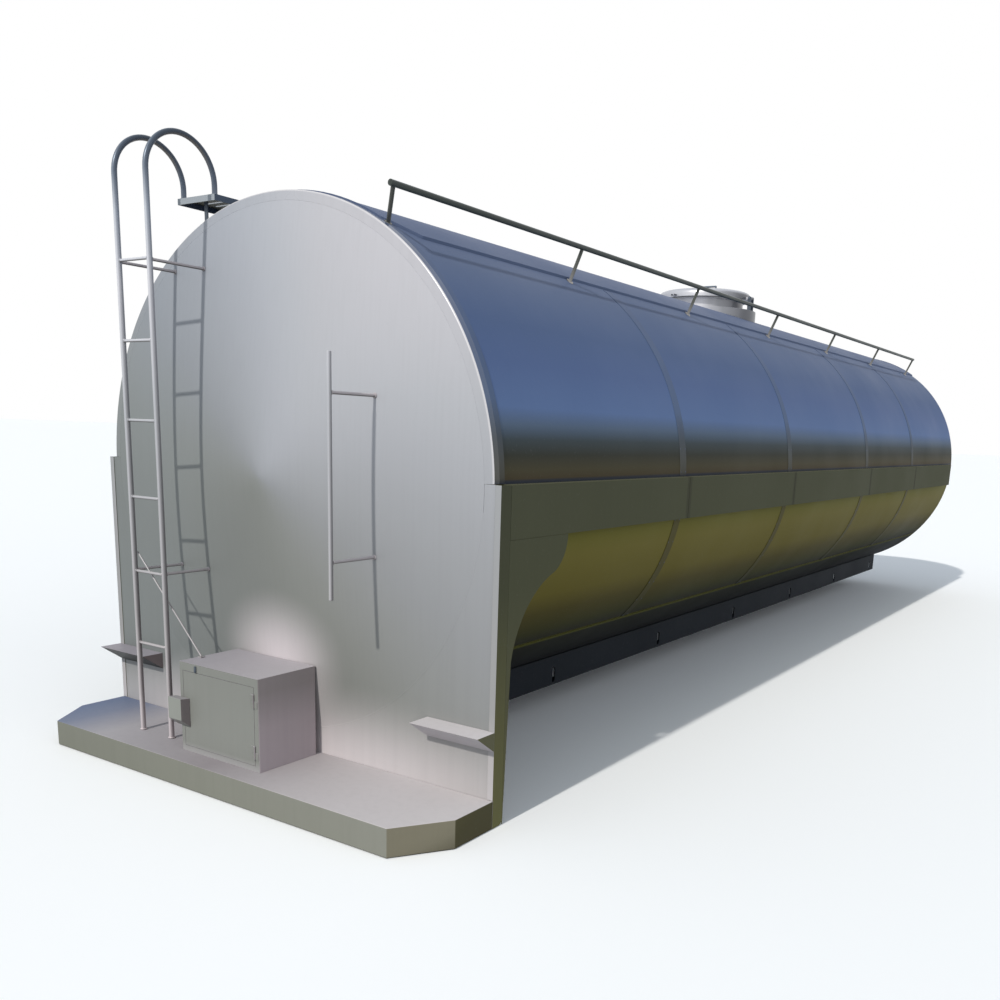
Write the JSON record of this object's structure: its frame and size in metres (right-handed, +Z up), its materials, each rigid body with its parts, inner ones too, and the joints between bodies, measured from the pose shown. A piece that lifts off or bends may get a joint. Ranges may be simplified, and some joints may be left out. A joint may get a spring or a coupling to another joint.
{
  "type": "milk storage tank",
  "caption": "Long insulated tank body with coned rear end, side skirts, rear deck with valve cabinet, ladder, handrail and a bolted manhole, for carrying and storing milk on a truck frame.",
  "frame": {"origin": "middle of the underside of the sub-frame's centre cross-member, on the plane where the body sits on a chassis", "axes": "+X to the right seen from the rear, +Y forward along the tank, +Z up"},
  "size_m": [2.5, 9.5738, 2.8535],
  "materials": {
    "stainless": "satin",
    "foam": "matt foam",
    "head_grey": "satin",
    "slate_paint": "satin",
    "olive_paint": "satin",
    "skirt_paint": "satin",
    "deck_paint": "matt",
    "tube_steel": "satin",
    "dark_steel": "satin",
    "lid_steel": "satin",
    "grip_plastic": "smooth",
    "seal_rubber": "matt",
    "frame_paint": "matt"
  },
  "bodies": {
    "tank": {"vessel_barrel": "stainless", "vessel_rear_head": "stainless", "vessel_front_head": "stainless", "insulation": "foam", "end_insulation": "foam", "rear_head": "head_grey", "front_head": "slate_paint", "upper_cladding": "slate_paint", "side_cladding": "olive_paint", "belly_sheet": "olive_paint", "seam_bands": "slate_paint", "top_strip": "slate_paint", "skirt_right": "skirt_paint", "skirt_left": "skirt_paint", "fender_right": "skirt_paint", "fender_left": "skirt_paint", "corner_right": "deck_paint", "corner_left": "deck_paint", "rear_plate": "head_grey", "rear_deck": "deck_paint", "ledges": "deck_paint", "cabinet": "deck_paint", "door_hinge_pins": "tube_steel", "outlet_pipe": "stainless", "valve_body": "stainless", "outlet_union": "stainless", "ladder_stiles": "tube_steel", "ladder_rungs": "tube_steel", "ladder_standoffs": "tube_steel", "ladder_tread": "dark_steel", "tread_legs": "dark_steel", "brace_rod": "tube_steel", "grab_bar": "tube_steel", "grab_standoffs": "tube_steel", "handrail": "dark_steel", "handrail_posts": "dark_steel", "manhole_neck": "stainless", "manhole_collar": "dark_steel", "lid_hinge_lugs": "dark_steel", "lid_pin": "tube_steel", "bolt_lugs": "dark_steel", "bolt_pins": "tube_steel", "frame_rails": "frame_paint", "cross_members": "frame_paint", "baffles": "stainless", "spray_ball": "stainless"},
    "lid_body": {"lid": "lid_steel", "lid_forks": "lid_steel", "lid_plate": "stainless", "lid_seal": "seal_rubber", "lid_handle": "tube_steel"},
    "door_body": {"cabinet_door": "deck_paint", "door_lock": "deck_paint"},
    "catch_body": {"door_catch": "tube_steel"},
    "valve_turn": {"valve_stem": "stainless", "valve_lever": "grip_plastic"},
    "bolt_front": {"swing_bolt_front": "tube_steel"},
    "bolt_left": {"swing_bolt_left": "tube_steel"},
    "bolt_rear": {"swing_bolt_rear": "tube_steel"}
  },
  "joints": [
    {"name": "lid_hinge", "type": "hinge", "parent": "tank", "child": "lid_body", "pos_m": [0.392, 0.28, 2.497], "axis": [0, 1, 0], "range_deg": [0, 110]},
    {"name": "door_hinge", "type": "hinge", "parent": "tank", "child": "door_body", "pos_m": [0.236, -4.6385, 0.129], "axis": [0, 0, 1], "range_deg": [0, 110]},
    {"name": "catch_turn", "type": "hinge", "parent": "tank", "child": "catch_body", "pos_m": [-0.145, -4.6335, 0.315], "axis": [0, 1, 0], "range_deg": [0, 180]},
    {"name": "valve_turn_joint", "type": "hinge", "parent": "tank", "child": "valve_turn", "pos_m": [0, -4.349, 0.13], "axis": [0, 0, -1], "range_deg": [0, 90]},
    {"name": "bolt_front_swing", "type": "hinge", "parent": "tank", "child": "bolt_front", "pos_m": [-0.0999, 0.65285, 2.436], "axis": [0.9659, 0.2588, 0], "range_deg": [0, 105]},
    {"name": "bolt_left_swing", "type": "hinge", "parent": "tank", "child": "bolt_left", "pos_m": [-0.386, 0.28, 2.436], "axis": [0, 1, 0], "range_deg": [0, 105]},
    {"name": "bolt_rear_swing", "type": "hinge", "parent": "tank", "child": "bolt_rear", "pos_m": [-0.0999, -0.09285, 2.436], "axis": [-0.9659, 0.2588, 0], "range_deg": [0, 105]}
  ]
}
